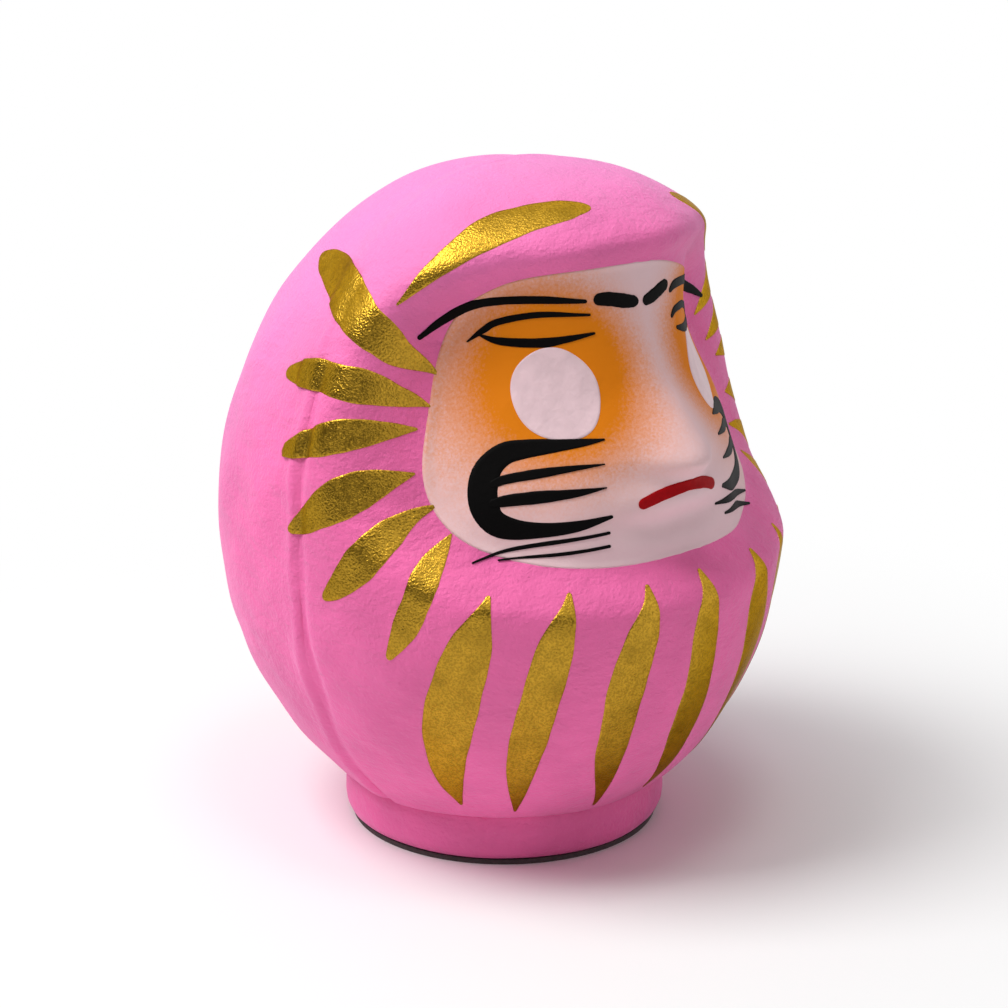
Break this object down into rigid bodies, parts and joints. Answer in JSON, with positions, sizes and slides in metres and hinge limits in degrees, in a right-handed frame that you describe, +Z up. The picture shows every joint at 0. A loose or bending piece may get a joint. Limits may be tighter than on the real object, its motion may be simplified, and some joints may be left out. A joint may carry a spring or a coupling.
{
  "type": "daruma doll",
  "caption": "Round hollow paper tumbler figure with a sunken painted face under a projecting hood, on a short flat foot with a clay weight inside.",
  "frame": {"origin": "middle of the underside, on the axis of the round foot", "axes": "+Z up through the crown; the face looks along -Y; +X is the doll's own left"},
  "size_m": [0.0912, 0.0975, 0.1117],
  "materials": {
    "pink_paper": "matte pink paint over moulded paper pulp",
    "face_paint": "matte white paint over pulp, shaded orange round the eyes",
    "black_paint": "brushed black paint, satin",
    "red_paint": "brushed red paint, satin",
    "gold_paint": "brushed metallic gold paint with visible flake",
    "card": "plain grey-brown card",
    "clay": "raw dry clay"
  },
  "bodies": {
    "root": {"shell_front": "pink_paper", "shell_rear": "pink_paper", "joint_strip": "pink_paper", "foot_ring": "pink_paper", "clay_weight": "clay", "base_card": "card"}
  },
  "joints": []
}
